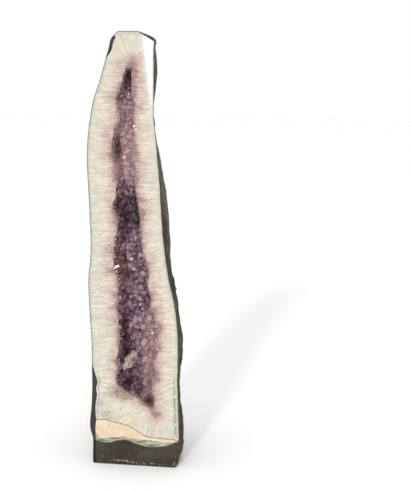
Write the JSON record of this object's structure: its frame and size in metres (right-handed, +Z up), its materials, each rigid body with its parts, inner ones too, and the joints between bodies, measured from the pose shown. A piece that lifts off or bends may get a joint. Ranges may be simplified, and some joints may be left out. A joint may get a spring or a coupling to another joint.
{
  "type": "amethyst geode",
  "caption": "Tall cathedral geode: a stone sawn and polished down its front around a narrow hollow lined with amethyst points, standing on its flat sawn base.",
  "frame": {"origin": "middle of the stone's outline, on the flat sawn base", "axes": "+Z up the stone, -Y out of the polished front, +X to the right as seen from the front"},
  "size_m": [0.2175, 0.2033, 1],
  "materials": {
    "stone": "dark painted skin outside, cream to pink polished quartz on the sawn front",
    "amethyst": "clear violet crystal with bright flat faces"
  },
  "bodies": {
    "root": {"geode_body": "stone", "amethyst_crust": "amethyst"}
  },
  "joints": []
}
